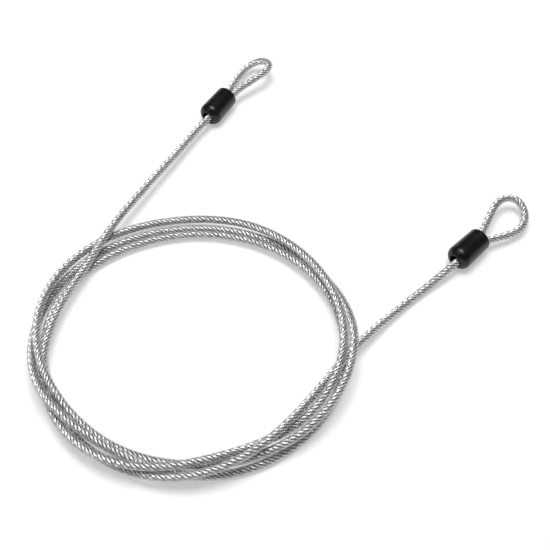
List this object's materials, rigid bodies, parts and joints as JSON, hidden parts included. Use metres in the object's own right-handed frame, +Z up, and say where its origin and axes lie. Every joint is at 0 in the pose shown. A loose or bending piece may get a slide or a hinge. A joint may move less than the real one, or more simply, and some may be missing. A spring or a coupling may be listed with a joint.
{
  "type": "cable lock",
  "caption": "Double-loop lock cable: steel wire rope in a clear jacket with a crimped, black-covered eye at each end, lying as a loose coil",
  "frame": {"origin": "on the surface that the cable lies on, under the middle of its outline", "axes": "+Z up; +Y away from the camera of the picture, along the longer side of the outline; +X to the right of the picture"},
  "size_m": [0.2332, 0.2602, 0.0137],
  "materials": {
    "wire_rope": "galvanised strands",
    "clear_jacket": "clear, glossy",
    "black_cover": "semi-gloss moulded",
    "ferrule": "pressed"
  },
  "bodies": {
    "root": {"rope_coil": "wire_rope", "rope_end_a": "wire_rope", "rope_end_b": "wire_rope", "rope_eye_a": "wire_rope", "rope_eye_b": "wire_rope", "jacket_coil": "clear_jacket", "jacket_end_a": "clear_jacket", "jacket_end_b": "clear_jacket", "jacket_eye_a": "clear_jacket", "jacket_eye_b": "clear_jacket", "sleeve_cover_a": "black_cover", "sleeve_cover_b": "black_cover", "crimp_ferrule_a": "ferrule", "crimp_ferrule_b": "ferrule"}
  },
  "joints": []
}
